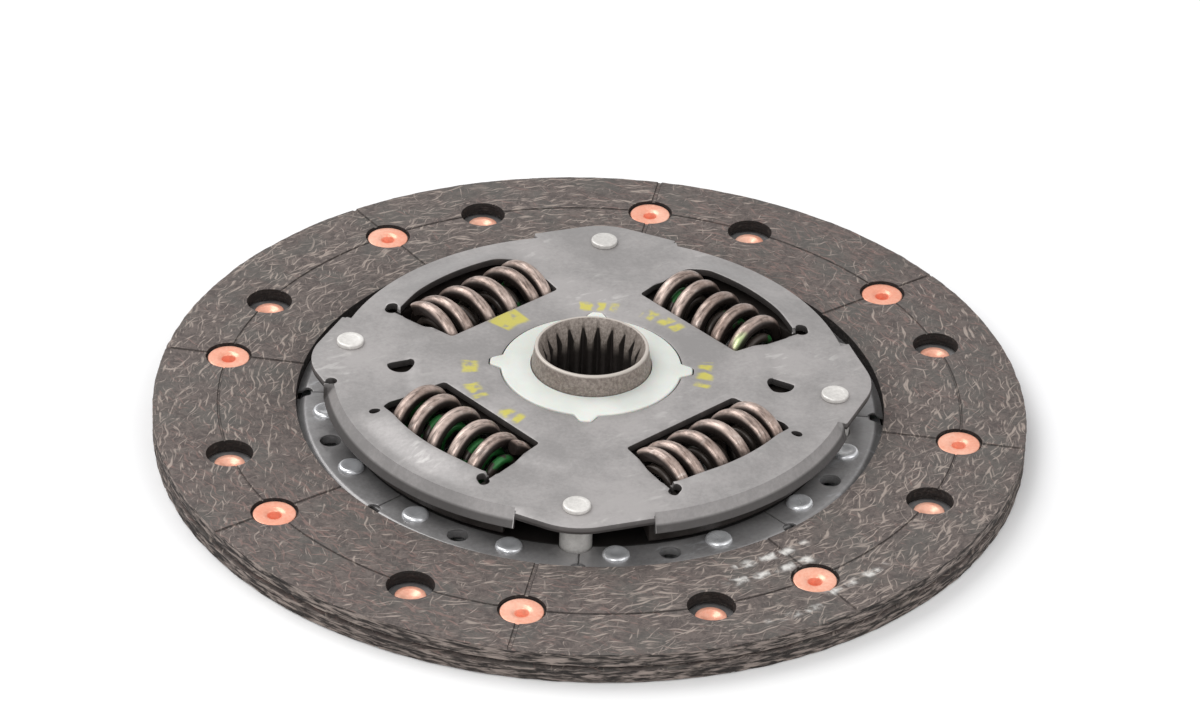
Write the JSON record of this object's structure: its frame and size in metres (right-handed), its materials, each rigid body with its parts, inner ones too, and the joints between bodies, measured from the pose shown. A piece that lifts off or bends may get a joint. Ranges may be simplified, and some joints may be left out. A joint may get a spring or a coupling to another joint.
{
  "type": "clutch disc",
  "caption": "Round clutch disc with riveted friction facings on wavy spring-steel segments, a sprung torsion damper in pressed plates and a splined hub.",
  "frame": {"origin": "on the shaft axis, in the plane of the friction face on the flywheel side", "axes": "+Z along the shaft axis, from the flywheel side to the gearbox side; +Y runs through the first stop pin"},
  "size_m": [0.228, 0.228, 0.0244],
  "materials": {
    "friction_lining": "wound fibre and resin friction lining, ground flat",
    "copper": "bare copper tubular rivets",
    "plated_steel": "bright plated rivet heads",
    "pressed_steel": "grey phosphated pressed steel",
    "cushion_steel": "blue-grey spring steel sheet",
    "forged_steel": "phosphated forging with a machined spline",
    "spring_steel": "shot-blasted and oiled spring wire",
    "green_paint": "green marking paint on spring wire",
    "white_plastic": "white moulded nylon",
    "dark_plastic": "dark friction plastic"
  },
  "bodies": {
    "driven_plate": {"facing_upper": "friction_lining", "facing_lower": "friction_lining", "lining_rivets_upper": "copper", "lining_rivets_lower": "copper", "segment_rivets": "plated_steel", "carrier_plate": "pressed_steel", "retainer_plate": "pressed_steel", "centring_bush": "white_plastic", "friction_ring": "dark_plastic", "support_washer": "pressed_steel", "disc_spring": "spring_steel", "cushion_segment_1": "cushion_steel", "cushion_segment_2": "cushion_steel", "cushion_segment_3": "cushion_steel", "cushion_segment_4": "cushion_steel", "cushion_segment_5": "cushion_steel", "cushion_segment_6": "cushion_steel", "cushion_segment_7": "cushion_steel", "cushion_segment_8": "cushion_steel", "stop_pin_1": "plated_steel", "stop_pin_2": "plated_steel", "stop_pin_3": "plated_steel", "stop_pin_4": "plated_steel"},
    "hub": {"hub": "forged_steel"},
    "springs": {"damper_spring_1": "spring_steel", "damper_spring_2": "spring_steel", "damper_spring_3": "spring_steel", "damper_spring_4": "spring_steel", "inner_spring_1": "green_paint", "inner_spring_2": "green_paint", "inner_spring_3": "green_paint", "inner_spring_4": "green_paint"}
  },
  "joints": [
    {"name": "damper_twist", "type": "hinge", "parent": "driven_plate", "child": "hub", "pos_m": [0, 0, 0.011], "axis": [0, 0, 1], "range_deg": [-12, 12], "stiffness_Nm_per_rad": 40, "deforming": ["damper_spring_1", "damper_spring_2", "damper_spring_3", "damper_spring_4", "inner_spring_1", "inner_spring_2", "inner_spring_3", "inner_spring_4"]},
    {"name": "spring_follow", "type": "hinge", "parent": "driven_plate", "child": "springs", "pos_m": [0, 0, 0.011], "axis": [0, 0, 1], "range_deg": [-6, 6]}
  ],
  "couplings": [
    {"joint": "spring_follow", "follows": "damper_twist", "ratio": 0.5}
  ]
}
